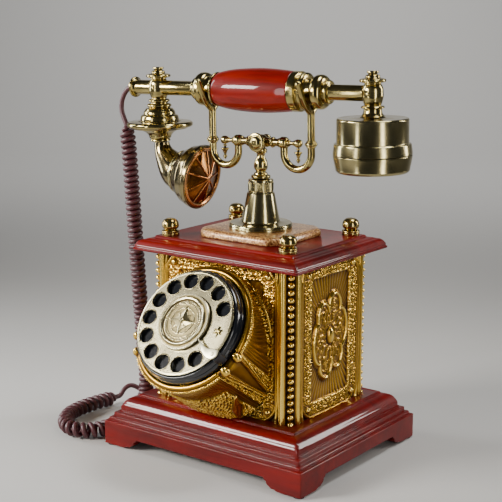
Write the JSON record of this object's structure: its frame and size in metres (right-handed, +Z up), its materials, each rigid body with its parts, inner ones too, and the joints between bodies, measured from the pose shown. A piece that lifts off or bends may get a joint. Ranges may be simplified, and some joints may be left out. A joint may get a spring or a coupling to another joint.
{
  "type": "rotary telephone",
  "caption": "Antique-style desk telephone: tilted rotary dial on a cast box over a moulded wooden plinth, sprung cradle on a turned stand, and a handset with horn and receiver.",
  "frame": {"origin": "on the desk under the middle of the telephone's box, the cord left out", "axes": "+Z up, +X towards the receiver end of the handset, dial facing -Y"},
  "size_m": [0.3335, 0.2294, 0.3469],
  "materials": {
    "brass": "polished antique brass",
    "mahogany": "high-gloss red lacquer",
    "gilt_resin": "cast relief, gilt with dark recesses",
    "black_plastic": "gloss",
    "ballast_iron": "plain",
    "steel": "plain",
    "copper_coil": "varnished winding",
    "circuit_board": "satin",
    "clear_plastic": "gloss",
    "felt": "felt",
    "cord": "satin"
  },
  "bodies": {
    "desk_base": {"plinth": "mahogany", "bottom_cover": "black_plastic", "ballast_weight": "ballast_iron", "foot_pad_1": "felt", "foot_pad_2": "felt", "foot_pad_3": "felt", "foot_pad_4": "felt", "handset_jack": "black_plastic", "line_jack": "black_plastic", "handset_plug": "clear_plastic", "body_shell": "gilt_resin", "circuit_board": "circuit_board", "ringer_gong": "steel", "ringer_coil": "copper_coil", "hook_switch_bracket": "steel", "top_plate": "mahogany", "finial_1": "brass", "finial_2": "brass", "finial_3": "brass", "finial_4": "brass", "resin_pad": "gilt_resin", "stand_base": "brass", "knurled_collar": "brass", "dial_housing": "gilt_resin", "dial_surround": "black_plastic", "number_plate": "black_plastic", "mechanism_plate": "steel", "finger_stop": "brass", "cord_curl": "cord", "cord_tail_base": "cord"},
    "dial": {"finger_wheel": "brass", "dial_medallion": "brass", "dial_spindle": "steel"},
    "governor": {"governor_rotor": "steel"},
    "cradle": {"plunger_stem": "brass", "cross_joint": "brass", "bar_left": "brass", "bar_right": "brass", "hook_left": "brass", "hook_right": "brass", "fork_left": "brass", "fork_right": "brass"},
    "handset": {"cord_tail_handset": "cord", "grip_barrel": "mahogany", "handset_arm_left": "brass", "handset_arm_right": "brass", "cord_gland": "brass", "post_left": "brass", "post_right": "brass", "transmitter_disc": "brass", "transmitter_horn": "brass", "mouthpiece_bell": "brass", "mouthpiece_grille": "brass", "transmitter_capsule": "black_plastic", "receiver_shell": "brass", "receiver_cap": "brass", "receiver_capsule": "black_plastic"},
    "hook_switch": {"hook_switch_lever": "steel"},
    "clapper": {"ringer_clapper": "steel"}
  },
  "joints": [
    {"name": "dial_spin", "type": "hinge", "parent": "desk_base", "child": "dial", "pos_m": [-0.00125, -0.08747, 0.1376], "axis": [0, -0.8163, 0.5776], "range_deg": [-335, 0], "stiffness_Nm_per_rad": 0.004, "springref_deg": 34.38},
    {"name": "governor_spin", "type": "hinge", "parent": "desk_base", "child": "governor", "pos_m": [-0.00125, -0.0743, 0.15621], "axis": [0, -0.8163, 0.5776], "range_deg": [0, 1340]},
    {"name": "cradle_slide", "type": "slide", "parent": "desk_base", "child": "cradle", "axis": [0, 0, 1], "range_m": [0, 0.004], "stiffness_N_per_m": 100, "springref_m": 0.03},
    {"name": "handset_lift", "type": "slide", "parent": "cradle", "child": "handset", "axis": [-0.0209, -0.0015, 0.9998], "range_m": [0, 0.06]},
    {"name": "hook_switch_pivot", "type": "hinge", "parent": "desk_base", "child": "hook_switch", "pos_m": [0.03875, 0.02113, 0.1665], "axis": [0, 1, 0], "range_deg": [0, 5.8]},
    {"name": "clapper_swing", "type": "hinge", "parent": "desk_base", "child": "clapper", "pos_m": [-0.00525, 0.00113, 0.072], "axis": [0, 0, 1], "range_deg": [-5, 5], "stiffness_Nm_per_rad": 0.02}
  ],
  "couplings": [
    {"joint": "governor_spin", "follows": "dial_spin", "ratio": -4},
    {"joint": "hook_switch_pivot", "follows": "cradle_slide", "rad_per_m": 25}
  ]
}
